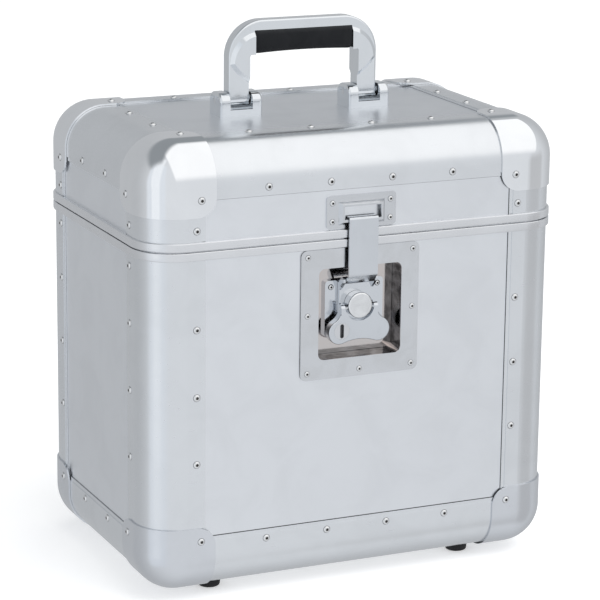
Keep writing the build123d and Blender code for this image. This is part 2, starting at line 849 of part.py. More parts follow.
def latch_strap():
    # Bent strap: an eye round its pin, a crank out of the dish, and a nose that hooks over the keeper's lip.
    eye_bore = strap_pin_radius + running_gap
    eye_middle = eye_bore + strap_sheet / 2
    lean = radians(strap_lean)
    start = (strap_pin_z - eye_middle * cos(lean), strap_pin_depth + eye_middle * sin(lean))
    crank = (strap_middle - start[1]) / cos(lean)
    knee = (start[0] + crank * sin(lean), strap_middle)
    nose_z = lip_z + nose_gap + strap_sheet / 2
    line = FilletPolyline(start, knee, (nose_z, strap_middle), (nose_z, strap_middle - nose_reach), radius=strap_bend)
    profile = trace(line, strap_sheet) + Pos(strap_pin_z, strap_pin_depth) * Circle(eye_bore + strap_sheet)
    profile -= Pos(strap_pin_z, strap_pin_depth) * Circle(eye_bore)
    return front * extrude(side_view * profile, strap_width / 2, both=True)


def keeper_plate():
    # Pressed keeper: a riveted plate with a hollow hood, and a window for the strap's nose.
    plate = extrude(RectangleRounded(keeper_width, keeper_height, keeper_corner), keeper_sheet)
    hood_y = hood_foot + hood_height_on_plate / 2 - keeper_height / 2
    foot = Pos(0, hood_y) * Rectangle(hood_width, hood_height_on_plate)
    inner_foot = Pos(0, hood_y) * Rectangle(hood_width - 2 * keeper_sheet, hood_height_on_plate - 2 * keeper_sheet)
    hood = extrude(foot, hood_depth, taper=hood_draft)
    hollow = extrude(inner_foot, hood_depth - keeper_sheet, taper=hood_draft)
    low = window_low - keeper_height / 2
    window = block((-window_width / 2, window_width / 2), (low, low + window_height), (keeper_sheet, 2 * hood_depth))
    return front * Pos(0, keeper_z, 0) * (plate + hood - hollow - window)


def front_rivets(places, depth, radius):
    points = [(x, -half_depth + skin - depth, z) for x, z in places]
    return rivet_heads(points, (0, -1, 0), radius)


def latch_rivets():
    x = dish_width / 2 - dish_rivet_inset
    y = dish_height / 2 - dish_rivet_inset
    places = [(i * x, dish_z + j * y) for i in (-1, 0, 1) for j in (-1, 0, 1) if (i, j) != (0, 0)]
    on_base = [(side * base_rivet_x, boss_z + base_rivet_rise) for side in (-1, 1)]
    return front_rivets(places, dish_sheet, small_rivet_radius) + front_rivets(
        on_base, base_front, small_rivet_radius
    )


def keeper_rivets():
    places = [(i * keeper_rivet_x, keeper_z + j * keeper_rivet_y) for i in (-1, 1) for j in (-1, 1)]
    return front_rivets(places, keeper_sheet, small_rivet_radius)


# Assembly: one file for each node

parts = {}
holes = foot_holes()
lid_low = split_z + lid_web
body_high = split_z - rim_web

parts["front_panel"] = front_panel()
parts["rear_panel"] = wall_panel_rear(base_z + edge_radius, body_high)
parts["left_panel"] = wall_panel_left(base_z + edge_radius, body_high)
parts["right_panel"] = mirror(parts["left_panel"], about=Plane.YZ)
parts["bottom_panel"] = flat_panel(base_z + skin) - holes
for place, piece in four_corners(post(base_z + edge_leg, body_high)).items():
    parts["corner_post_" + place] = piece
front_foot_edge = long_edge(base_z, 1, edge_leg) - holes
left_foot_edge = short_edge(base_z, 1, edge_leg)
parts["bottom_edge_front"] = front_foot_edge
parts["bottom_edge_rear"] = mirror(front_foot_edge, about=Plane.XZ)
parts["bottom_edge_left"] = left_foot_edge
parts["bottom_edge_right"] = mirror(left_foot_edge, about=Plane.YZ)
for place, piece in four_corners(Pos(-half_width, -half_depth, base_z) * corner_cap()).items():
    parts["bottom_corner_" + place] = piece
parts["body_rim"] = body_rim()
parts["body_lining"] = body_lining()
parts["floor_pad"] = floor_pad()
parts["rubber_feet"] = [Pos(x, y, 0) * foot() for x, y in foot_places()]
parts["foot_screws"] = [Pos(x, y, 0) * foot_screw() for x, y in foot_places()]
first_rivet = split_z - rim_band - post_rivet_drop
post_heights = [first_rivet - i * rivet_pitch for i in range(post_rivets)]
parts["body_rivets"] = (
    wall_row_rivets(base_z + flange_mid)
    + flat_row_rivets(base_z, -1)
    + post_rivet_heads(post_heights)
    + cap_rivet_heads(base_z, 1)
    + hinge_rivets(-1)
)
parts["hinge_leaves_body"] = on_hinges(hinge_leaf(-1, 0))
hinge_pin = across(hinge_pin_radius, -hinge_width / 2, hinge_width / 2, split_z, hinge_pin_out)
parts["hinge_pins"] = on_hinges(hinge_pin)
parts["latch_dish"] = latch_dish()
parts["latch_base"] = latch_base()
parts["latch_rivets"] = latch_rivets()

lid_wall_high = top_z - edge_radius
lid_board = flat_panel(lid_face_z - panel)
for x, y in bracket_screw_places():
    lid_board -= Pos(x, y, 0) * outwards(screw_radius + hole_gap, lid_face_z - 2 * panel, top_z)
parts["lid_top_panel"] = lid_board
parts["lid_rear_panel"] = wall_panel_rear(lid_low, lid_wall_high)
parts["lid_front_panel"] = mirror(parts["lid_rear_panel"], about=Plane.XZ)
parts["lid_left_panel"] = wall_panel_left(lid_low, lid_wall_high)
parts["lid_right_panel"] = mirror(parts["lid_left_panel"], about=Plane.YZ)
parts["lid_posts"] = list(four_corners(post(lid_low, top_z - lid_edge_drop)).values())
front_top_edge = long_edge(top_z, -1, lid_edge_drop)
left_top_edge = short_edge(top_z, -1, lid_edge_drop)
parts["top_edge_front"] = front_top_edge
parts["top_edge_rear"] = mirror(front_top_edge, about=Plane.XZ)
parts["top_edge_left"] = left_top_edge
parts["top_edge_right"] = mirror(left_top_edge, about=Plane.YZ)
top_cap = Pos(-half_width, -half_depth, top_z) * mirror(corner_cap(), about=Plane.XY)
for place, piece in four_corners(top_cap).items():
    parts["top_corner_" + place] = piece
parts["lid_rim"] = lid_rim()
parts["lid_lining"] = lid_lining()
lid_post_rivet = (split_z + rim_band + top_z - cap_leg) / 2
parts["lid_rivets"] = (
    wall_row_rivets(top_z - (edge_radius + lid_edge_drop) / 2)
    + flat_row_rivets(top_z, 1)
    + post_rivet_heads([lid_post_rivet])
    + cap_rivet_heads(top_z, -1)
    + hinge_rivets(1)
    + keeper_rivets()
)
parts["hinge_leaves_lid"] = on_hinges(hinge_leaf(1, 1))
parts["keeper_plate"] = keeper_plate()
left_bracket = handle_bracket()
parts["handle_brackets"] = [left_bracket, mirror(left_bracket, about=Plane.YZ)]
parts["bracket_screws"] = [Pos(x, y, 0) * bracket_screw() for x, y in bracket_screw_places()]
pin_half = bracket_width / 2
parts["handle_pins"] = [
    across(handle_pin_radius, side * bracket_x - pin_half, side * bracket_x + pin_half, 0, pivot_z) for side in (-1, 1)
]

parts["handle_bail"] = handle_bail()
parts["handle_grip"] = handle_grip()

parts["latch_boss"] = latch_boss()
parts["latch_cam"] = latch_cam()
pin_reach = sqrt(wing_notch_radius**2 - wing_axis_drop**2) + wing_ear_width
parts["wing_pin"] = front * across(wing_pin_radius, -pin_reach, pin_reach, wing_axis_z, wing_axis_depth)
parts["latch_wing"] = latch_wing()
parts["key_barrel"] = key_barrel()
parts["latch_slider"] = latch_slider()
parts["strap_pin"] = front * across(
    strap_pin_radius, -slider_width / 2, slider_width / 2, strap_pin_z, strap_pin_depth
)
parts["latch_strap"] = latch_strap()

os.makedirs("parts", exist_ok=True)
for node, shape in parts.items():
    if isinstance(shape, list):
        shape = Compound(children=[solid for piece in shape for solid in piece.solids()])
    export_step(shape, "parts/" + node + ".step")
print("nodes", len(parts), "handle pivot z", pivot_z, "hinge axis", half_depth - skin + hinge_pin_out, split_z)
print("boss z", boss_z, "wing axis", -half_depth + skin - wing_axis_depth, wing_axis_z)
print("strap pin", -half_depth + skin - strap_pin_depth, strap_pin_z, "lift per radian", eccentric_lift / (pi / 2))
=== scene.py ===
import math
import bmesh
import bpy
import numpy as np
from mathutils import Matrix, Vector


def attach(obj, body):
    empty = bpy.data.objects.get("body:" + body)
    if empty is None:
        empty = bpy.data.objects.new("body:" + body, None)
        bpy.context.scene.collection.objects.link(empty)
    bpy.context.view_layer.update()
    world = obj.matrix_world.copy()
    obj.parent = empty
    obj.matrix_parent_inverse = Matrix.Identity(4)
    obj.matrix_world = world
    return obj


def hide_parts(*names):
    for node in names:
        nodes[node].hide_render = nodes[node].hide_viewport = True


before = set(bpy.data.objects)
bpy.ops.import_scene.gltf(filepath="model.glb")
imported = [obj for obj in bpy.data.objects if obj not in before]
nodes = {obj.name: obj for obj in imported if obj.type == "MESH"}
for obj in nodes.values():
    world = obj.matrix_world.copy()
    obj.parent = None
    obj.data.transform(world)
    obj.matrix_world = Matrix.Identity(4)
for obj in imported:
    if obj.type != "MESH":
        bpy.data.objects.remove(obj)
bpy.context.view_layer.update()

mm = 0.001
print("frame loaded:", len(nodes), "nodes")


# Node helpers

def addNode(tree, kind, values=None, **settings):
    node = tree.nodes.new(kind)
    for key, value in settings.items():
        setattr(node, key, value)
    for key, value in (values or {}).items():
        if isinstance(value, bpy.types.NodeSocket):
            tree.links.new(value, node.inputs[key])
        else:
            node.inputs[key].default_value = value
    return node


def calc(tree, operation, first, second=0.0, third=None, clamp=False):
    node = addNode(tree, "ShaderNodeMath", operation=operation, use_clamp=clamp)
    for slot, value in enumerate((first, second) if third is None else (first, second, third)):
        if isinstance(value, bpy.types.NodeSocket):
            tree.links.new(value, node.inputs[slot])
        else:
            node.inputs[slot].default_value = value
    return node.outputs[0]


def ramp(tree, value, fromLow, fromHigh, toLow=0.0, toHigh=1.0, smooth=True):
    node = addNode(tree, "ShaderNodeMapRange", {"Value": value, "From Min": fromLow, "From Max": fromHigh,
                                                "To Min": toLow, "To Max": toHigh}, clamp=True)
    node.interpolation_type = "SMOOTHSTEP" if smooth else "LINEAR"
    return node.outputs["Result"]


def dot(tree, vector, axis):
    node = addNode(tree, "ShaderNodeVectorMath", operation="DOT_PRODUCT")
    tree.links.new(vector, node.inputs[0])
    node.inputs[1].default_value = axis
    return node.outputs["Value"]


def blendColor(tree, share, first, second):
    node = addNode(tree, "ShaderNodeMix", data_type="RGBA")
    for slot, value in ((0, share), (6, first), (7, second)):
        if isinstance(value, bpy.types.NodeSocket):
            tree.links.new(value, node.inputs[slot])
        else:
            node.inputs[slot].default_value = value
    return node.outputs[2]


def newGroup(name, inputs, outputs):
    tree = bpy.data.node_groups.new(name, "ShaderNodeTree")
    for label, kind, value in inputs:
        socket = tree.interface.new_socket(label, in_out="INPUT", socket_type=kind)
        if value is not None:
            socket.default_value = value
    for label, kind in outputs:
        tree.interface.new_socket(label, in_out="OUTPUT", socket_type=kind)
    return tree, tree.nodes.new("NodeGroupInput").outputs, tree.nodes.new("NodeGroupOutput").inputs


# Shared effects

def grainGroup():
    # Long fine lines: noise stretched along the grain. Line is -1 to 1, Height is for a bump.
    tree, given, out = newGroup(
        "drawnLines",
        [("Vector", "NodeSocketVector", None), ("Stretch", "NodeSocketVector", (900.0, 900.0, 6.0))],
        [("Line", "NodeSocketFloat"), ("Height", "NodeSocketFloat")],
    )
    scaled = addNode(tree, "ShaderNodeVectorMath", operation="MULTIPLY")
    tree.links.new(given["Vector"], scaled.inputs[0])
    tree.links.new(given["Stretch"], scaled.inputs[1])
    fine = addNode(tree, "ShaderNodeTexNoise", {"Vector": scaled.outputs[0], "Scale": 1.0, "Detail": 3.0,
                                                "Roughness": 0.65})
    broad = addNode(tree, "ShaderNodeTexNoise", {"Vector": scaled.outputs[0], "Scale": 0.17, "Detail": 2.0})
    both = calc(tree, "MULTIPLY_ADD", fine.outputs["Fac"], 0.6,
                calc(tree, "MULTIPLY", broad.outputs["Fac"], 0.4))
    tree.links.new(both, out["Height"])
    tree.links.new(ramp(tree, both, 0.3, 0.7, -1.0, 1.0, smooth=False), out["Line"])
    return tree


def handlingGroup():
    # Large soft smudges and a few short hairlines, as handling leaves them on metal.
    tree, given, out = newGroup(
        "handlingMarks",
        [("Vector", "NodeSocketVector", None), ("Size", "NodeSocketFloat", 22.0)],
        [("Smudge", "NodeSocketFloat"), ("Hairline", "NodeSocketFloat")],
    )
    cloud = addNode(tree, "ShaderNodeTexNoise", {"Vector": given["Vector"], "Scale": given["Size"],
                                                 "Detail": 4.0, "Roughness": 0.6, "Distortion": 0.8})
    tree.links.new(ramp(tree, cloud.outputs["Fac"], 0.35, 0.7), out["Smudge"])
    turned = addNode(tree, "ShaderNodeMapping", {"Vector": given["Vector"], "Rotation": (0.7, 0.4, 0.9),
                                                 "Scale": (70.0, 1100.0, 420.0)})
    thin = addNode(tree, "ShaderNodeTexNoise", {"Vector": turned.outputs[0], "Scale": 1.0, "Detail": 1.0})
    tree.links.new(ramp(tree, thin.outputs["Fac"], 0.73, 0.77), out["Hairline"])
    return tree


def turnedGroup():
    # Rings round an axis along Y, as a lathe leaves them: a wave of the distance from the axis.
    tree, given, out = newGroup(
        "turnedRings",
        [("Vector", "NodeSocketVector", None), ("Centre", "NodeSocketVector", (0.0, 0.0, 0.0)),
         ("Rings", "NodeSocketFloat", 9000.0)],
        [("Height", "NodeSocketFloat")],
    )
    offset = addNode(tree, "ShaderNodeVectorMath", operation="SUBTRACT")
    tree.links.new(given["Vector"], offset.inputs[0])
    tree.links.new(given["Centre"], offset.inputs[1])
    flat = addNode(tree, "ShaderNodeVectorMath", operation="MULTIPLY")
    tree.links.new(offset.outputs[0], flat.inputs[0])
    flat.inputs[1].default_value = (1.0, 0.0, 1.0)
    length = addNode(tree, "ShaderNodeVectorMath", operation="LENGTH")
    tree.links.new(flat.outputs[0], length.inputs[0])
    wave = calc(tree, "SINE", calc(tree, "MULTIPLY", length.outputs["Value"], given["Rings"]))
    tree.links.new(wave, out["Height"])
    return tree


def cellGroup():
    # Open foam cells: two sizes of Voronoi cell walls, with a painted shade in the hollows.
    tree, given, out = newGroup(
        "foamCells",
        [("Vector", "NodeSocketVector", None), ("Cell", "NodeSocketFloat", 900.0)],
        [("Height", "NodeSocketFloat"), ("Shade", "NodeSocketFloat")],
    )
    small = addNode(tree, "ShaderNodeTexVoronoi", {"Vector": given["Vector"], "Scale": given["Cell"]})
    large = addNode(tree, "ShaderNodeTexVoronoi", {"Vector": given["Vector"],
                                                   "Scale": calc(tree, "MULTIPLY", given["Cell"], 0.37)})
    both = calc(tree, "MULTIPLY_ADD", small.outputs["Distance"], 0.6,
                calc(tree, "MULTIPLY", large.outputs["Distance"], 0.4))
    tree.links.new(both, out["Height"])
    # Shade is painted shade: darker in the cells' hollows, lighter on their walls
    tree.links.new(ramp(tree, both, 0.1, 0.6, 0.75, 1.15, smooth=False), out["Shade"])
    return tree


drawnLines, handlingMarks, turnedRings, foamCells = grainGroup(), handlingGroup(), turnedGroup(), cellGroup()


def placeGroup(tree, group, values):
    node = tree.nodes.new("ShaderNodeGroup")
    node.node_tree = group
    for key, value in values.items():
        if isinstance(value, bpy.types.NodeSocket):
            tree.links.new(value, node.inputs[key])
        else:
            node.inputs[key].default_value = value
    return node.outputs


# Finishes

metalLooks = {
    "panelSkin": dict(color=(0.84, 0.86, 0.89), rough=0.30, lines=0.02, bump=0.008, smudge=0.03),
    "edgeExtrusion": dict(color=(0.79, 0.81, 0.835), rough=0.23, lines=0.02, bump=0.006, smudge=0.02),
    "rimExtrusion": dict(color=(0.80, 0.81, 0.83), rough=0.24, lines=0.06, bump=0.05, smudge=0.03),
    "brightCap": dict(color=(0.86, 0.875, 0.895), rough=0.05, lines=0.01, bump=0.004, smudge=0.03),
    "satinCap": dict(color=(0.73, 0.75, 0.785), rough=0.20, lines=0.03, bump=0.02, smudge=0.05),
    "rivetSteel": dict(color=(0.80, 0.805, 0.81), rough=0.12, lines=0.02, bump=0.0, smudge=0.05),
    # dark for the mandrel's steel, and as painted shade in its hole and round each rivet's foot
    "mandrelAndFootShade": dict(color=(0.10, 0.095, 0.09), rough=0.42, lines=0.05, bump=0.0, smudge=0.08),
    "latchPlating": dict(color=(0.78, 0.79, 0.80), rough=0.09, lines=0.02, bump=0.01, smudge=0.04),
    "latchSatin": dict(color=(0.68, 0.705, 0.74), rough=0.13, lines=0.03, bump=0.02, smudge=0.05),
    "keeperSatin": dict(color=(0.66, 0.675, 0.70), rough=0.15, lines=0.04, bump=0.02, smudge=0.05),
    "handlePlating": dict(color=(0.76, 0.785, 0.81), rough=0.08, lines=0.02, bump=0.01, smudge=0.05),
    "hingeSteel": dict(color=(0.74, 0.76, 0.78), rough=0.24, lines=0.06, bump=0.04, smudge=0.06),
}
grainAlong = {"X": (5.0, 900.0, 900.0), "Y": (900.0, 5.0, 900.0), "Z": (900.0, 900.0, 5.0),
              "level": (9.0, 9.0, 1100.0)}
metals = {}


def startMaterial(name):
    material = bpy.data.materials.new(name)
    material.use_nodes = True
    tree = material.node_tree
    shader = tree.nodes["Principled BSDF"]
    place = addNode(tree, "ShaderNodeTexCoord").outputs["Object"]
    return material, tree, shader, place


# where panels go under the extrusions' lips: painted shade of the gap along each joint, by axis, in metres
panelJointShade = {
    "long": (("X", 0.12805), ("low", 0.05500), ("high", 0.31855)),
    "short": (("Y", 0.07005), ("low", 0.05500), ("high", 0.31855)),
    "flat": (("X", 0.12805), ("Y", 0.07005)),
}
# softness and colour of the painted joint shade
jointShadeSoft, jointShadeTone = 0.0001, (0.10, 0.10, 0.105, 1.0)


def jointShadeMask(tree, place, limits):
    # painted shade: 1 in the joint and under the lips, 0 on the open panel
    parts = addNode(tree, "ShaderNodeSeparateXYZ", {"Vector": place}).outputs
    mask = None
    for axis, limit in limits:
        if axis == "low":
            edge = ramp(tree, parts["Z"], limit, limit - jointShadeSoft)
        elif axis == "high":
            edge = ramp(tree, parts["Z"], limit, limit + jointShadeSoft)
        else:
            edge = ramp(tree, calc(tree, "ABSOLUTE", parts[axis]), limit, limit + jointShadeSoft)
        mask = edge if mask is None else calc(tree, "MAXIMUM", mask, edge)
    return mask


def metal(look, grain="X", joints=None):
    # Bare or plated metal with its grain along one direction.
    name = look + "_" + grain + ("_" + joints if joints else "")
    if name in metals:
        return metals[name]
    given = metalLooks[look]
    material, tree, shader, place = startMaterial(name)
    shader.inputs["Metallic"].default_value = 1.0
    lines = placeGroup(tree, drawnLines, {"Vector": place, "Stretch": grainAlong[grain]})
    marks = placeGroup(tree, handlingMarks, {"Vector": place})
    base = (*given["color"], 1.0)
    deep = (*[c * 0.93 for c in given["color"]], 1.0)
    share = calc(tree, "MULTIPLY", marks["Smudge"], 0.5)
    color = blendColor(tree, share, base, deep)
    # painted shade of the gaps where the panels meet the extrusions
    if joints:
        color = blendColor(tree, jointShadeMask(tree, place, panelJointShade[joints]), color, jointShadeTone)
    tree.links.new(color, shader.inputs["Base Color"])
    rough = calc(tree, "MULTIPLY_ADD", lines["Line"], given["lines"], given["rough"])
    rough = calc(tree, "MULTIPLY_ADD", marks["Smudge"], given["smudge"], rough)
    rough = calc(tree, "MULTIPLY_ADD", marks["Hairline"], 0.06, rough, clamp=True)
    tree.links.new(rough, shader.inputs["Roughness"])
    if given["bump"]:
        bump = addNode(tree, "ShaderNodeBump", {"Height": lines["Height"], "Strength": given["bump"],
                                                "Distance": 0.0004})
        tree.links.new(bump.outputs[0], shader.inputs["Normal"])
    metals[name] = material
    return material


def turnedMetal():
    # Boss: polished side, faintly turned front.
    material, tree, shader, place = startMaterial("turnedBoss")
    given = {"centre": (0.0, 0.0, 0.2265), "rings": 14000.0, "rough": 0.11}
    shader.inputs["Metallic"].default_value = 1.0
    rings = placeGroup(tree, turnedRings, {"Vector": place, "Centre": given["centre"],
                                           "Rings": given["rings"]})
    marks = placeGroup(tree, handlingMarks, {"Vector": place, "Size": 90.0})
    tree.links.new(blendColor(tree, marks["Smudge"], (0.82, 0.83, 0.84, 1.0), (0.75, 0.76, 0.77, 1.0)),
                   shader.inputs["Base Color"])
    rough = calc(tree, "MULTIPLY_ADD", rings["Height"], 0.03, given["rough"])
    tree.links.new(rough, shader.inputs["Roughness"])
    bump = addNode(tree, "ShaderNodeBump", {"Height": rings["Height"], "Strength": 0.08, "Distance": 0.0002})
    tree.links.new(bump.outputs[0], shader.inputs["Normal"])
    return material


def platedPress(name, look, edge, outside):
    # Pressed or turned piece: satin front face, polished inside or, as painted shade, dark inside, parted by a
    # mask over the depth.
    given = metalLooks["latchPlating"]
    material, tree, shader, place = startMaterial(name)
    shader.inputs["Metallic"].default_value = 1.0
    lines = placeGroup(tree, drawnLines, {"Vector": place, "Stretch": grainAlong["Z"]})
    marks = placeGroup(tree, handlingMarks, {"Vector": place, "Size": 45.0})
    depth = addNode(tree, "ShaderNodeSeparateXYZ", {"Vector": place}).outputs["Y"]
    inside = ramp(tree, depth, edge[0], edge[1])
    color = blendColor(tree, inside, (*outside["color"], 1.0), (*look["color"], 1.0))
    if "walls" in look:
        # Painted shade and painted dark reflection on the drafted walls and the corner of the floor, mottled by
        # a noise.
        x, z, halfX, halfZ, wall = look["walls"]
        wallSoft = 0.0003
        apart = addNode(tree, "ShaderNodeSeparateXYZ", {"Vector": place}).outputs
        side, end = (ramp(tree, calc(tree, "ABSOLUTE", calc(tree, "SUBTRACT", apart[axis], middle)),
                          half - wallSoft, half) for axis, middle, half in (("X", x, halfX), ("Z", z, halfZ)))
        cloud = addNode(tree, "ShaderNodeTexNoise", {"Vector": place, "Scale": 130.0, "Detail": 2.0})
        tone = blendColor(tree, ramp(tree, cloud.outputs["Fac"], 0.42, 0.60), (*[c * 0.5 for c in wall], 1.0),
                          (*[c * 1.7 for c in wall], 1.0))
        wallShadeMask = calc(tree, "MULTIPLY", calc(tree, "MAXIMUM", side, end), inside)
        color = blendColor(tree, wallShadeMask, color, tone)
    share = calc(tree, "MULTIPLY", marks["Smudge"], 0.35)
    tree.links.new(blendColor(tree, share, color, (0.60, 0.61, 0.62, 1.0)), shader.inputs["Base Color"])
    rough = ramp(tree, inside, 0.0, 1.0, outside["rough"], look["rough"], smooth=False)
    rough = calc(tree, "MULTIPLY_ADD", lines["Line"], given["lines"], rough)
    rough = calc(tree, "MULTIPLY_ADD", marks["Smudge"], given["smudge"], rough, clamp=True)
    tree.links.new(rough, shader.inputs["Roughness"])
    bump = addNode(tree, "ShaderNodeBump", {"Height": lines["Height"], "Strength": 0.01, "Distance": 0.0004})
    tree.links.new(bump.outputs[0], shader.inputs["Normal"])
    return material


def rubber(name, color, rough, pebble, dust):
    # Moulded rubber: a fine pebble and a little pale dust in patches.
    material, tree, shader, place = startMaterial(name)
    noise = addNode(tree, "ShaderNodeTexNoise", {"Vector": place, "Scale": pebble, "Detail": 3.0,
                                                 "Roughness": 0.6})
    marks = placeGroup(tree, handlingMarks, {"Vector": place, "Size": 60.0})
    share = calc(tree, "MULTIPLY", marks["Smudge"], dust)
    dusty = blendColor(tree, share, (*color, 1.0), (0.16, 0.16, 0.165, 1.0))
    tree.links.new(dusty, shader.inputs["Base Color"])
    rough = calc(tree, "MULTIPLY_ADD", noise.outputs["Fac"], 0.12, rough - 0.06)
    tree.links.new(rough, shader.inputs["Roughness"])
    shader.inputs["Specular IOR Level"].default_value = 0.22
    bump = addNode(tree, "ShaderNodeBump", {"Height": noise.outputs["Fac"], "Strength": 0.12,
                                            "Distance": 0.0004})
    tree.links.new(bump.outputs[0], shader.inputs["Normal"])
    return material


def foamSkin():
    material, tree, shader, place = startMaterial("greyFoam")
    cells = placeGroup(tree, foamCells, {"Vector": place, "Cell": 850.0})
    tone = addNode(tree, "ShaderNodeTexNoise", {"Vector": place, "Scale": 30.0, "Detail": 3.0})
    color = blendColor(tree, tone.outputs["Fac"], (0.040, 0.041, 0.044, 1.0), (0.060, 0.061, 0.065, 1.0))
    # the colour scaled by the cells' painted shade
    shade = addNode(tree, "ShaderNodeVectorMath", operation="SCALE")
    tree.links.new(color, shade.inputs[0])
    tree.links.new(cells["Shade"], shade.inputs["Scale"])
    tree.links.new(shade.outputs[0], shader.inputs["Base Color"])
    shader.inputs["Roughness"].default_value = 0.94
    shader.inputs["Sheen Weight"].default_value = 0.25
    bump = addNode(tree, "ShaderNodeBump", {"Height": cells["Height"], "Strength": 0.5, "Distance": 0.0006})
    tree.links.new(bump.outputs[0], shader.inputs["Normal"])
    return material


gripRubber = rubber("gripRubber", (0.006, 0.007, 0.009), 0.46, 2600.0, 0.03)
footRubber = rubber("footRubber", (0.020, 0.020, 0.021), 0.62, 1800.0, 0.15)
greyFoam = foamSkin()
turnedBoss = turnedMetal()
# dish walls: x and z of the middle, half sizes, and the colour of the painted wall shade and reflection
dishPlating = platedPress("dishPlating", dict(color=(0.62, 0.57, 0.55), rough=0.07,
                                              walls=(0.0, 0.2217, 0.0343, 0.0353, (0.07, 0.07, 0.075))),
                          (-0.1167, -0.1159),
                          dict(color=(0.69, 0.705, 0.73), rough=0.16))
# the key barrel's inside, behind its front face, is painted near black as the keyway's shade
keyPlating = platedPress("keyPlating", dict(color=(0.10, 0.10, 0.105), rough=0.30), (-0.1164, -0.1156),
                         dict(color=(0.70, 0.71, 0.73), rough=0.12))


def assign(name, material):
    for slot in nodes[name].material_slots:
        slot.material = material


sides = {"front": "X", "rear": "X", "left": "Y", "right": "Y"}
places = ("front_left", "front_right", "rear_left", "rear_right")
for side, grain in sides.items():
    skin = metal("panelSkin", grain, "long" if grain == "X" else "short")
    assign(side + "_panel", skin)
    assign("lid_" + side + "_panel", skin)
    assign("bottom_edge_" + side, metal("edgeExtrusion", grain))
    assign("top_edge_" + side, metal("edgeExtrusion", grain))
for place in places:
    assign("corner_post_" + place, metal("edgeExtrusion", "Z"))
    assign("bottom_corner_" + place, metal("satinCap", "Z"))
    assign("top_corner_" + place, metal("brightCap", "Z"))
finishes = {
    ("bottom_panel", "lid_top_panel"): metal("panelSkin", "X", "flat"),
    ("lid_posts",): metal("edgeExtrusion", "Z"),
    ("body_rim", "lid_rim"): metal("rimExtrusion", "level"),
    ("latch_dish",): dishPlating,
    ("latch_base",): metal("latchSatin", "X"),
    ("latch_boss",): turnedBoss,
    ("latch_cam", "latch_wing", "latch_slider", "latch_strap"): metal("latchSatin", "Z"),
    ("key_barrel",): keyPlating,
    ("keeper_plate",): metal("keeperSatin", "X"),
    ("handle_bail", "handle_brackets"): metal("handlePlating", "X"),
    ("handle_pins", "hinge_pins", "wing_pin", "strap_pin"): metal("rivetSteel", "X"),
    ("body_rivets", "lid_rivets", "latch_rivets", "foot_screws", "bracket_screws"): metal("rivetSteel", "Z"),
    ("hinge_leaves_body", "hinge_leaves_lid"): metal("hingeSteel", "X"),
    ("handle_grip",): gripRubber,
    ("rubber_feet",): footRubber,
    ("body_lining", "lid_lining", "floor_pad"): greyFoam,
}
for names, material in finishes.items():
    for name in names:
        assign(name, material)
print("materials on the frame's nodes")


# Mesh helpers

# edges sharper than this many degrees stay creased
crease = {"rivet": 40, "rim": 35, "foam": 50, "grip": 50}


def addMesh(name, points, faces, materials, faceMaterial=None, sharp=None):
    mesh = bpy.data.meshes.new(name)
    mesh.from_pydata(points.reshape(-1, 3).tolist(), [], faces.tolist())
    work = bmesh.new()
    work.from_mesh(mesh)
    if faceMaterial is not None:
        for face, index in zip(work.faces, faceMaterial.tolist()):
            face.material_index = index
    bmesh.ops.remove_doubles(work, verts=work.verts, dist=1e-6)
    bmesh.ops.recalc_face_normals(work, faces=work.faces)
    work.to_mesh(mesh)
    work.free()
    mesh.polygons.foreach_set("use_smooth", np.full(len(mesh.polygons), True))
    if sharp is not None:
        mesh.set_sharp_from_angle(angle=math.radians(sharp))
    for material in materials:
        mesh.materials.append(material)
    piece = bpy.data.objects.new(name, mesh)
    bpy.context.scene.collection.objects.link(piece)
    return piece


def gridFaces(rows, columns, closedRows=False, closedColumns=False):
    # Quads of a grid of points, numbered row by row.
    i, j = np.meshgrid(np.arange(rows if closedRows else rows - 1),
                       np.arange(columns if closedColumns else columns - 1), indexing="ij")
    iNext, jNext = (i + 1) % rows, (j + 1) % columns
    return np.stack([i * columns + j, iNext * columns + j, iNext * columns + jNext, i * columns + jNext],
                    axis=-1).reshape(-1, 4)


def heads(name, seats, profile, sides, materials, footRings, middleRing):
    # Round heads on many seats: seat + radius(t) * (cos(a) U + sin(a) V) + height(t) * normal.
    # The rings of the foot and those from middleRing on take the second material.
    points, faces, kinds, count = [], [], [], 0
    radius, height = np.array(profile).T * mm
    angle = np.arange(sides) * 2 * math.pi / sides
    quads = gridFaces(len(radius), sides, closedColumns=True)
    rings = np.arange(len(radius) - 1)
    kind = np.repeat((rings >= middleRing) | (rings < footRings), sides).astype(int)
    for spot, normal in seats:
        n = np.array(normal, float)
        u = np.cross(n, (0.0, 0.0, 1.0)) if abs(n[2]) < 0.9 else np.array((1.0, 0.0, 0.0))
        v = np.cross(n, u)
        circle = np.cos(angle)[:, None] * u + np.sin(angle)[:, None] * v
        grid = np.array(spot) * mm + radius[:, None, None] * circle + height[:, None, None] * n
        points.append(grid.reshape(-1, 3))
        faces.append(quads + count)
        kinds.append(kind)
        count += len(radius) * sides
    return addMesh(name, np.concatenate(points), np.concatenate(faces), materials,
                   faceMaterial=np.concatenate(kinds))


# Camera

camera = {"azimuth": -24.33, "elevation": 14.49, "roll": 0.635, "distance": 2.203,
          "right": 0.00334, "up": 0.14326, "originHeight": 0.0545, "lens": 159.96}


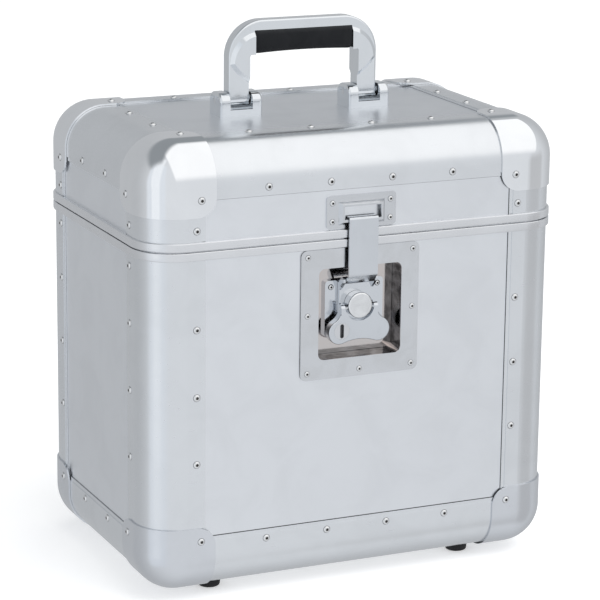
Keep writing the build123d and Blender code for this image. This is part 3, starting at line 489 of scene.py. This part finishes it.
def placeCamera(look):
    a, e, r = (math.radians(look[k]) for k in ("azimuth", "elevation", "roll"))
    back = Vector((math.sin(a) * math.cos(e), -math.cos(a) * math.cos(e), math.sin(e)))
    right = Vector((math.cos(a), math.sin(a), 0.0))
    up = back.cross(right)
    across = math.cos(r) * right + math.sin(r) * up
    upright = -math.sin(r) * right + math.cos(r) * up
    spot = look["right"] * across + look["up"] * upright + look["distance"] * back
    spot.z += look["originHeight"]
    data = bpy.data.cameras.new("photoCamera")
    data.lens, data.sensor_width, data.clip_end = look["lens"], 36.0, 50.0
    view = bpy.data.objects.new("photoCamera", data)
    view.matrix_world = Matrix.Translation(spot) @ Matrix((across, upright, back)).transposed().to_4x4()
    bpy.context.scene.collection.objects.link(view)
    bpy.context.scene.camera = view


placeCamera(camera)


# Studio

studio = {
    "level": 1.0, "front": 0.84, "rear": 0.55, "tint": (0.955, 0.977, 1.005),
    # soft boxes and dark cards: direction, ranges to the right and up, softness of both, level, tint, streaks
    "cards": [
        ((0.74, -0.64, -0.20), (-0.25, 0.55), (-0.7, 0.25), (0.13, 0.2), 0.60, (0.97, 0.98, 1.0), 0.0),
        ((-0.90, -0.42, -0.05), (-0.45, 0.50), (-0.8, 1.3), (0.10, 0.15), 0.88, (0.93, 0.97, 1.02), 0.0),
        ((-0.86, -0.48, 0.30), (-0.30, 0.14), (-0.75, 1.1), (0.05, 0.12), 1.06, (0.97, 0.99, 1.01), 0.75),
        ((0.05, -0.62, 0.78), (-0.37, 1.5), (-0.76, 3.6), (0.05, 0.26), 1.14, (1.0, 1.0, 1.0), 0.0),
        ((-0.45, 0.50, 0.74), (-1.7, 0.75), (-0.12, 0.64), (0.30, 0.14), 0.33, (0.92, 0.98, 1.03), 0.0),
    ],
}


def worldLight(look):
    # The studio by direction: a bright front, a greyer rear, soft boxes and dark cards. White to the camera.
    world = bpy.data.worlds.new("studio")
    bpy.context.scene.world = world
    world.use_nodes = True
    tree = world.node_tree
    tree.nodes.clear()
    direction = addNode(tree, "ShaderNodeTexCoord").outputs["Generated"]
    frontness = ramp(tree, dot(tree, direction, (0.0, -1.0, 0.0)), -0.7, 0.7)
    low = (*[look["rear"] * t for t in look["tint"]], 1.0)
    high = (*[look["front"] * t for t in look["tint"]], 1.0)
    color = blendColor(tree, frontness, low, high)
    for centre, wide, tall, soft, level, tint, streaks in look["cards"]:
        centre = Vector(centre).normalized()
        across = Vector((0.0, 0.0, 1.0)).cross(centre).normalized()
        upright = centre.cross(across)
        ahead = dot(tree, direction, centre)
        safe = calc(tree, "MAXIMUM", ahead, 0.02)
        mask = ramp(tree, ahead, 0.02, 0.12)
        spans = ((across, wide, soft[0]), (upright, tall, soft[1]))
        for axis, (near, far), edge in spans:
            value = calc(tree, "DIVIDE", dot(tree, direction, axis), safe)
            mask = calc(tree, "MULTIPLY", mask, ramp(tree, value, near - edge, near + edge))
            mask = calc(tree, "MULTIPLY", mask, ramp(tree, value, far + edge, far - edge))
        if streaks:
            value = calc(tree, "DIVIDE", dot(tree, direction, across), safe)
            wave = addNode(tree, "ShaderNodeTexNoise", noise_dimensions="1D")
            tree.links.new(calc(tree, "MULTIPLY", value, 26.0), wave.inputs["W"])
            stripe = ramp(tree, wave.outputs["Fac"], 0.38, 0.60, 1.0 - streaks, 1.0)
            mask = calc(tree, "MULTIPLY", mask, stripe)
        color = blendColor(tree, mask, color, (*[level * t for t in tint], 1.0))
    seen = addNode(tree, "ShaderNodeLightPath").outputs["Is Camera Ray"]
    white = addNode(tree, "ShaderNodeBackground", {"Color": (1.0, 1.0, 1.0, 1.0), "Strength": 1.0})
    light = addNode(tree, "ShaderNodeBackground", {"Color": color, "Strength": look["level"]})
    mix = addNode(tree, "ShaderNodeMixShader", {"Fac": seen})
    tree.links.new(light.outputs[0], mix.inputs[1])
    tree.links.new(white.outputs[0], mix.inputs[2])
    output = addNode(tree, "ShaderNodeOutputWorld")
    tree.links.new(mix.outputs[0], output.inputs["Surface"])


def floor():
    # Pale floor: white to the camera apart from the object's shadow.
    given = {"half": 6.0, "color": 0.86, "lift": 0.42}
    corner = given["half"]
    mesh = bpy.data.meshes.new("studioFloor")
    mesh.from_pydata([(-corner, -corner, 0), (corner, -corner, 0), (corner, corner, 0), (-corner, corner, 0)],
                     [], [(0, 1, 2, 3)])
    piece = bpy.data.objects.new("studioFloor", mesh)
    bpy.context.scene.collection.objects.link(piece)
    material, tree, shader, place = startMaterial("studioFloor")
    tone = given["color"]
    shader.inputs["Base Color"].default_value = (tone, tone, tone, 1.0)
    shader.inputs["Roughness"].default_value = 0.9
    shader.inputs["Specular IOR Level"].default_value = 0.0
    path = addNode(tree, "ShaderNodeLightPath")
    seen = calc(tree, "MAXIMUM", path.outputs["Is Camera Ray"], path.outputs["Is Transmission Ray"])
    shader.inputs["Emission Color"].default_value = (1.0, 1.0, 1.0, 1.0)
    tree.links.new(calc(tree, "MULTIPLY", seen, given["lift"]), shader.inputs["Emission Strength"])
    mesh.materials.append(material)
    piece.visible_glossy = False


def lamp(name, spot, target, size, power):
    data = bpy.data.lights.new(name, "AREA")
    data.shape, data.size, data.energy = "SQUARE", size, power
    piece = bpy.data.objects.new(name, data)
    piece.location = spot
    piece.rotation_euler = (Vector(target) - Vector(spot)).to_track_quat("-Z", "Y").to_euler()
    piece.visible_glossy = False
    bpy.context.scene.collection.objects.link(piece)


overhead = {"spot": (0.5, -1.0, 2.0), "target": (0.0, 0.0, 0.2), "size": 1.6, "power": 16.0}
worldLight(studio)
floor()
lamp("overheadBox", **overhead)
bpy.context.scene.view_settings.view_transform = "Standard"
print("camera and studio")


# Rivets: a dished head with the dark end of the mandrel in the middle, and a painted shadow ring round its foot

rivet = {"radius": 2.8, "height": 1.3, "sides": 14}
smallRivet = {"radius": 2.2, "height": 1.05, "sides": 14}
# rings of the foot, dark as a painted contact shadow, and the first ring of the mandrel, dark as its steel and
# as painted shade in its hole
rivetRings = (3, 8)
# the case's faces in mm, and how far a cap stands out from them
faceAt = {"halfX": 175.0, "halfY": 117.0, "bottom": 8.0, "top": 361.0, "cap": 1.5}
# x of the rivets on the front and rear, y of those on the sides
rivetRows = {
    "edge": ((-77.4, -25.8, 25.8, 77.4), (-25.8, 25.8)),
    "post": ((-135.75, 135.75), (-77.75, 77.75)),
    "side": ((), (-77.75, 77.75)),
    "cap": ((-132.5, 132.5), (-74.5, 74.5)),
}
# x, y and z of the small rivets of each fitting; the dish has none in its middle
fittings = {
    "bodyLeaves": ((-114.0, -76.0, 76.0, 114.0), 116.7, (251.8, 262.8)),
    "lidLeaves": ((-114.0, -76.0, 76.0, 114.0), 116.7, (298.8, 309.8)),
    "keeper": ((-24.5, 24.5), -116.7, (294.15, 308.65)),
    "dish": ((-44.5, 0.0, 44.5), -117.0, (175.7, 221.7, 267.7)),
    "pan": ((-19.8, 19.8), -105.5, (239.9,)),
}
dishMiddle = (0.0, -117.0, 221.7)


def rivetProfile(radius, height):
    # radius and height of each ring, from the back's middle out and over to the mandrel
    share = [(0.0, 0.0), (1.07, 0.0), (1.07, 0.04), (1.0, 0.06), (0.97, 0.34), (0.84, 0.70), (0.64, 0.93),
             (0.50, 1.0), (0.42, 0.92), (0.36, 0.42), (0.30, 0.32), (0.16, 0.40), (0.0, 0.42)]
    return [(r * radius, h * height) for r, h in share]


def wallSeats(heights, row, out=0.0):
    # seats of one row on the four walls, at each of the heights
    acrossX, acrossY = rivetRows[row]
    seats = []
    for z in heights:
        for sign in (-1, 1):
            seats += [((x, sign * (faceAt["halfY"] + out), z), (0, sign, 0)) for x in acrossX]
            seats += [((sign * (faceAt["halfX"] + out), y, z), (sign, 0, 0)) for y in acrossY]
    return seats


def flatSeats(z, normal):
    # seats on the bottom or the top: along the edges, then one on each cap
    edge, post, cap = (rivetRows[row] for row in ("edge", "post", "cap"))
    spots = [(x, y, z) for x in edge[0] for y in post[1]] + [(x, y, z) for x in post[0] for y in edge[1]]
    spots += [(x, y, z + normal * faceAt["cap"]) for x in cap[0] for y in cap[1]]
    return [(spot, (0, 0, normal)) for spot in spots]


def fittingSeats(fitting):
    # seats on a plate that looks to the rear where y is positive and to the front where it is negative
    xs, y, zs = fittings[fitting]
    return [((x, y, z), (0, 1 if y > 0 else -1, 0)) for x in xs for z in zs]


bodySeats = (wallSeats([47.25], "edge") + wallSeats([219.9, 166.8, 113.7], "post") + wallSeats([264.8], "side")
             + wallSeats([51.8], "cap", faceAt["cap"]) + flatSeats(faceAt["bottom"], -1))
lidSeats = (wallSeats([325.8], "edge") + wallSeats([296.2], "post") + wallSeats([319.6], "cap", faceAt["cap"])
            + flatSeats(faceAt["top"], 1))
bodySmall = fittingSeats("bodyLeaves")
lidSmall = fittingSeats("lidLeaves") + fittingSeats("keeper")
latchSmall = [seat for seat in fittingSeats("dish") if seat[0] != dishMiddle] + fittingSeats("pan")
rivetMetals = [metal("rivetSteel", "Z"), metal("mandrelAndFootShade", "Z")]


def rivets(name, groups, node, body):
    # All rivets of one body; groups are seats with the size of their heads
    parts = []
    for i, (seats, size) in enumerate(groups):
        profile = rivetProfile(size["radius"], size["height"])
        parts.append(heads(name + str(i), seats, profile, size["sides"], rivetMetals, *rivetRings))
    work = bmesh.new()
    for part in parts:
        work.from_mesh(part.data)
    mesh = bpy.data.meshes.new(name)
    work.to_mesh(mesh)
    work.free()
    for material in rivetMetals:
        mesh.materials.append(material)
    piece = bpy.data.objects.new(name, mesh)
    bpy.context.scene.collection.objects.link(piece)
    for part in parts:
        bpy.data.objects.remove(part)
    mesh.set_sharp_from_angle(angle=math.radians(crease["rivet"]))
    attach(piece, body)
    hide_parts(node)


rivets("bodyRivetHeads", [(bodySeats, rivet), (bodySmall, smallRivet)], "body_rivets", "body")
rivets("lidRivetHeads", [(lidSeats, rivet), (lidSmall, smallRivet)], "lid_rivets", "lid")
rivets("latchRivetHeads", [(latchSmall, smallRivet)], "latch_rivets", "body")
print("rivets")


# Loops round the case: a skeleton of base points with the direction outwards, 32 mm inside the faces

caseLoop = {"halfX": 143.0, "halfY": 85.0, "radius": 32.0, "arc": 14}


def loopStations(xs, ys, look=caseLoop):
    # Counter-clockwise from the front left: stations on the straights, then on each corner's arc
    hx, hy, steps = look["halfX"], look["halfY"], look["arc"]
    xs, ys = np.array(xs, float), np.array(ys, float)
    runs = [
        (np.stack([xs, np.full(len(xs), -hy)], 1), -90.0, (hx, -hy)),
        (np.stack([np.full(len(ys), hx), ys], 1), 0.0, (hx, hy)),
        (np.stack([-xs, np.full(len(xs), hy)], 1), 90.0, (-hx, hy)),
        (np.stack([np.full(len(ys), -hx), -ys], 1), 180.0, (-hx, -hy)),
    ]
    bases, angles = [], []
    for straight, facing, corner in runs:
        bases += [straight, np.tile(corner, (steps + 1, 1))]
        angles += [np.full(len(straight), facing), facing + np.arange(steps + 1) * 90.0 / steps]
    turn = np.radians(np.concatenate(angles))
    return np.concatenate(bases), np.stack([np.cos(turn), np.sin(turn)], 1)


def sweepLoop(name, base, outward, profile, materials, closed, sharp=None):
    # point = share * base + reach * outward, at a height; profile holds these three, per station or shared
    size = (len(base), np.shape(profile[0])[-1])
    share, reach, height = (np.broadcast_to(np.array(part, float), size) for part in profile)
    flat = share[..., None] * base[:, None, :] + reach[..., None] * outward[:, None, :]
    points = np.concatenate([flat, height[..., None]], axis=-1) * mm
    faces = gridFaces(points.shape[0], points.shape[1], closedRows=True, closedColumns=closed)
    return addMesh(name, points, faces, materials, sharp=sharp)


# Rims: rounded outer edges, a fine joint between them, and lips that follow posts and panels

rim = {"proud": 2.0, "round": 0.75, "joint": 0.42, "jointDepth": -1.4, "band": 7.0, "atPost": 0.1,
       "atPanel": -1.45, "postX": 128.5, "postY": 70.5, "between": 60.0, "split": 280.8}


def rimOuter(look):
    # Outer contour from the joint's bottom out and away from the joint, height counted from the joint
    turn = np.radians(np.arange(0, 91, 22.5))
    out, size = look["proud"] - look["round"], look["round"]
    near = [(out + size * math.sin(t), look["joint"] + size * (1 - math.cos(t))) for t in turn]
    far = [(out + size * math.cos(t), look["band"] - size * (1 - math.sin(t))) for t in turn]
    return [(look["jointDepth"], 0.0), (look["jointDepth"], look["joint"])] + near + far


def rimPiece(name, side, inner, node, body, look=rim):
    # side is -1 for the body's rim and 1 for the lid's; inner is the contour behind the lip
    px, py, between = look["postX"], look["postY"], look["between"]
    xs = (-px, -px, -between, 0.0, between, px, px)
    ys = (-py, -py, 0.0, py, py)
    base, outward = loopStations(xs, ys)
    steps = caseLoop["arc"] + 1
    onPanel = []
    for values in (xs, ys, xs, ys):
        onPanel += [0] + [1] * (len(values) - 2) + [0] + [0] * steps
    lip = np.where(np.array(onPanel), look["atPanel"], look["atPost"])
    contour = rimOuter(look)
    reach = [r for r, h in contour] + [None, None] + [r for r, h in inner]
    height = [h for r, h in contour] + [look["band"], inner[0][1]] + [h for r, h in inner]
    reach = np.stack([np.where([r is None], lip, 0.0 if r is None else r) for r in reach], axis=1)
    profile = (np.ones(len(height)), reach + caseLoop["radius"], look["split"] + side * np.array(height))
    piece = sweepLoop(name, base, outward, profile, [metal("rimExtrusion", "level")], True,
                      sharp=crease["rim"])
    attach(piece, body)
    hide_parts(node)


rimPiece("bodyRimBand", -1, [(-7.6, 2.0), (-7.6, 7.0), (-10.6, 7.0), (-10.6, 0.0), (-6.0, 0.0), (-6.0, -2.4),
                             (-4.0, -2.4), (-4.0, 0.0)], "body_rim", "body")
rimPiece("lidRimBand", 1, [(-7.6, 4.2), (-7.6, 7.0), (-10.6, 7.0), (-10.6, 0.0), (-6.5, 0.0), (-6.5, 3.0),
                           (-3.5, 3.0), (-3.5, 0.0)], "lid_rim", "lid")
print("rims")


# Foam: thin soft sheets that follow the walls, uneven by a fraction of a millimetre, their edges rounded

foam = {"outer": 24.35, "inner": 21.4, "uneven": 0.3, "edge": 1.3, "floorSteps": 9, "arcSteps": 9,
        "wallSteps": 12, "edgeSteps": 5, "xs": np.linspace(-135, 135, 19), "ys": np.linspace(-77, 77, 11)}
floorPad = {"radius": 21.05, "middle": 40.0, "top": 24.9, "low": 18.95, "crown": 0.8, "edge": 1.4,
            "uneven": 0.35, "flatSteps": 12, "arcSteps": 7, "edgeSteps": 5}
# cut out of the foam: the room behind the latch dish, and pockets over the bracket screws
latchRecess = ((-37.5, -112.0, 183.2), (37.5, -95.0, 260.2))
pocket = {"xs": (-69.25, -41.75, 41.75, 69.25), "low": 345.0, "radius": 5.0, "deep": 14.0, "sides": 28}


def unevenness(base, height, seed):
    # Slow waves between 0 and 1
    x, y, z = base[:, None, 0] / 41.0 + seed, base[:, None, 1] / 37.0, np.array(height)[None, :] / 29.0
    first = 0.25 * np.sin(2.1 * x + 1.7 * z) * np.cos(1.9 * y - 1.3 * z)
    return 0.5 + first + 0.25 * np.sin(x - y + 0.9 * z + seed)


def foamTub(name, up, foot, rimHeight, node, body, seed, look=foam):
    # up is 1 for the body's tub and -1 for the lid's. foot is the height of the outer floor.
    base, outward = loopStations(look["xs"], look["ys"])
    onFloor, onWall = look["floorSteps"], look["wallSteps"]
    turn = np.radians(np.linspace(90, 0, look["arcSteps"]))
    middle = foot + up * look["outer"]
    rows = np.linspace(0.08, 1.0, onWall) * (rimHeight - middle - up * look["edge"]) + middle
    shares = np.linspace(0.0, 0.95, onFloor)

    def skin(size):
        # one side of the sheet over floor, arc and wall: reach and height
        return (np.concatenate([np.zeros(onFloor), size * np.cos(turn), np.full(onWall, size)]),
                np.concatenate([np.full(onFloor, middle - up * size), middle - up * size * np.sin(turn), rows]))

    innerReach, innerHeight = skin(look["inner"])
    outerReach, outerHeight = skin(look["outer"])
    thick = look["outer"] - look["inner"]
    rounding = np.radians(np.linspace(0, 180, look["edgeSteps"] + 2))[1:-1]
    edgeReach = (look["outer"] + look["inner"]) / 2 - thick / 2 * np.cos(rounding)
    edgeHeight = rows[-1] + up * look["edge"] * np.sin(rounding)
    upright = np.ones(look["arcSteps"] + onWall)
    share = np.concatenate([shares, upright, np.ones(look["edgeSteps"]), upright, shares[::-1]])
    reach = np.concatenate([innerReach, edgeReach, outerReach[::-1]])
    height = np.concatenate([innerHeight, edgeHeight, outerHeight[::-1]])
    wave = unevenness(base, height, seed) * look["uneven"]
    isInner = np.arange(len(height)) < len(innerReach)
    isWall = isInner & (share > 0.99)
    isFloor = isInner & (share < 0.99)
    reach = reach[None, :] + np.where(isWall[None, :], wave, 0.0)
    fade = np.where(share < 0.9, 1.0, 0.0) * np.minimum(share * 4.0, 1.0)
    height = height[None, :] - up * np.where(isFloor[None, :], wave * fade[None, :], 0.0)
    piece = sweepLoop(name, base, outward, (share, reach, height), [greyFoam], False)
    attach(piece, body)
    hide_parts(node)
    return piece


def cutAway(piece, cutters):
    # Boolean difference, applied
    for cutter in cutters:
        modifier = piece.modifiers.new("cut", "BOOLEAN")
        modifier.operation, modifier.solver, modifier.object = "DIFFERENCE", "EXACT", cutter
    bpy.context.view_layer.update()
    graph = bpy.context.evaluated_depsgraph_get()
    mesh = bpy.data.meshes.new_from_object(piece.evaluated_get(graph))
    piece.modifiers.clear()
    old, piece.data = piece.data, mesh
    bpy.data.meshes.remove(old)
    for cutter in cutters:
        bpy.data.objects.remove(cutter)
    mesh.name = piece.name
    mesh.polygons.foreach_set("use_smooth", np.full(len(mesh.polygons), True))
    mesh.set_sharp_from_angle(angle=math.radians(crease["foam"]))


def boxCutter(low, high):
    x, y, z = np.meshgrid(*zip(low, high), indexing="ij")
    faces = np.array([(0, 1, 3, 2), (4, 6, 7, 5), (0, 4, 5, 1), (2, 3, 7, 6), (0, 2, 6, 4), (1, 5, 7, 3)])
    return addMesh("cutter", np.stack([x, y, z], -1).reshape(-1, 3) * mm, faces, [greyFoam])


def pocketCutter(x, look=pocket):
    radius, deep = look["radius"], look["deep"]
    profile = [(0.0, 0.0), (radius, 0.0), (radius, deep), (0.0, deep)]
    return heads("cutter", [((x, 0.0, look["low"]), (0, 0, 1))], profile, look["sides"], [greyFoam], 3, 3)


bodyFoam = foamTub("bodyFoamLining", 1, 15.65, 273.5, "body_lining", "body", 0.4)
cutAway(bodyFoam, [boxCutter(*latchRecess)])
lidFoam = foamTub("lidFoamLining", -1, 353.35, 288.1, "lid_lining", "lid", 2.7)
cutAway(lidFoam, [pocketCutter(x) for x in pocket["xs"]])


def floorFoam(look=floorPad):
    # Pad on the tub's floor: crowned top, rounded upper edge, foot on the tub's arc
    base, outward = loopStations(foam["xs"], foam["ys"])
    flat, arc, edge = look["flatSteps"], look["arcSteps"], look["edgeSteps"]
    shares = np.linspace(0.0, 0.97, flat)
    lowTurn = math.asin((look["middle"] - look["top"] + look["edge"]) / look["radius"])
    turn = np.linspace(math.pi / 2, lowTurn, arc)
    sideReach = look["radius"] * math.cos(lowTurn)
    rounding = np.radians(np.linspace(0, 90, edge + 1))[1:]
    share = np.concatenate([shares, np.ones(arc + edge), shares[::-1]])
    reach = np.concatenate([np.zeros(flat), look["radius"] * np.cos(turn),
                            sideReach - look["edge"] * (1 - np.cos(rounding)), np.zeros(flat)])
    drop = look["crown"] * np.concatenate([np.zeros(flat + arc + edge), shares[::-1] ** 6])
    height = np.concatenate([np.full(flat, look["low"]), look["middle"] - look["radius"] * np.sin(turn),
                             look["top"] - look["edge"] * (1 - np.sin(rounding)) - look["crown"],
                             np.full(flat, look["top"])]) - drop
    wave = unevenness(base, height, 5.1) * look["uneven"]
    isTop = (np.arange(len(height)) >= flat + arc + edge) & (share > 0.05)
    height = height[None, :] - np.where(isTop[None, :], wave * np.minimum(share * 3.0, 1.0)[None, :], 0.0)
    piece = sweepLoop("floorFoamPad", base, outward, (share, reach, height), [greyFoam], False)
    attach(piece, "body")
    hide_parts("floor_pad")
    return piece


for soft, tightness in ((bodyFoam, 0.95), (lidFoam, 0.95), (floorFoam(), 0.9)):
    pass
print("foam")


# Grip: rubber with a crowned top, an arched finger side and domed ends

grip = {"half": 42.0, "depth": 9.0, "low": 407.2, "top": 426.0, "arch": 1.3, "columns": 49, "around": 40,
        "sidePower": 0.5, "topPower": 0.28, "lowPower": 0.62, "endFrom": 0.93, "endLength": 0.07,
        "endShrink": 0.30}


def gripPoints(look):
    # Super-ellipse section, squarer at the top: y = depth * |cos a|^p, z = middle(x) + tall(x) * |sin a|^q.
    x = np.linspace(-1.0, 1.0, look["columns"])
    angle = np.linspace(0.0, 2 * math.pi, look["around"] + 1)[:-1]
    c, n = np.cos(angle), np.sin(angle)
    sectionY = np.sign(c) * np.abs(c) ** look["sidePower"]
    sectionZ = np.sign(n) * np.abs(n) ** np.where(n > 0, look["topPower"], look["lowPower"])
    end = np.clip((np.abs(x) - look["endFrom"]) / look["endLength"], 0.0, 1.0)
    shrink = np.sqrt(1.0 - look["endShrink"] * end ** 2)
    arch = look["arch"] / 2 * (1 - x ** 2)
    middle = (look["low"] + look["top"]) / 2 + arch
    tall = (look["top"] - look["low"]) / 2 - arch
    lower = np.where(n < 0, shrink[:, None], 1.0)
    points = np.zeros((len(x), len(angle), 3))
    points[..., 0] = (x * look["half"])[:, None]
    points[..., 1] = sectionY[None, :] * look["depth"] * shrink[:, None]
    points[..., 2] = middle[:, None] + sectionZ[None, :] * tall[:, None] * lower
    return points


def gripSleeve(look=grip):
    # The tube's quads and a fan over each end
    points = gripPoints(look)
    rows, columns = points.shape[:2]
    count = rows * columns
    ends = np.array([points[end].mean(axis=0) for end in (0, -1)])
    fans = [(start + i, start + (i + 1) % columns, count + k)
            for k, start in enumerate((0, count - columns)) for i in range(columns)]
    quads = gridFaces(rows, columns, closedColumns=True)
    mesh = bpy.data.meshes.new("gripSleeve")
    mesh.from_pydata((np.concatenate([points.reshape(-1, 3), ends]) * mm).tolist(), [], quads.tolist() + fans)
    work = bmesh.new()
    work.from_mesh(mesh)
    bmesh.ops.recalc_face_normals(work, faces=work.faces)
    work.to_mesh(mesh)
    work.free()
    mesh.polygons.foreach_set("use_smooth", np.full(len(mesh.polygons), True))
    mesh.set_sharp_from_angle(angle=math.radians(crease["grip"]))
    mesh.materials.append(gripRubber)
    piece = bpy.data.objects.new("gripSleeve", mesh)
    bpy.context.scene.collection.objects.link(piece)
    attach(piece, "handle")
    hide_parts("handle_grip")


gripSleeve()
print("grip")
